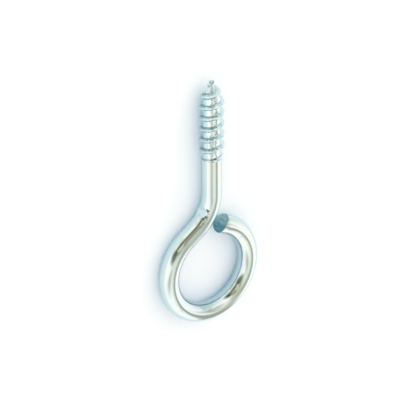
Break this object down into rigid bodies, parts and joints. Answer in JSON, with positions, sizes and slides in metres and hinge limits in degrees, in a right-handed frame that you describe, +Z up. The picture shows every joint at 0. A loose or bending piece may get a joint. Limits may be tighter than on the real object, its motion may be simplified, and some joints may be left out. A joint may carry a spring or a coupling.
{
  "type": "screw eye",
  "caption": "Zinc-plated steel wire bent to an open eye, with a rolled wood thread and gimlet point, for screwing into wood as an anchor for a hook, cord or ring.",
  "frame": {"origin": "on the floor that the piece lies on, under the middle of its outline", "axes": "+Y along the shank towards the point (tipped up 0.8 degrees, as the piece rests on its eye and its first full crest), +X towards the open side of the eye, +Z up"},
  "size_m": [0.0274, 0.0628, 0.0062],
  "materials": {
    "zinc_plated_steel": "bright zinc plate with a faint blue cast"
  },
  "bodies": {
    "root": {"screw_eye": "zinc_plated_steel"}
  },
  "joints": []
}
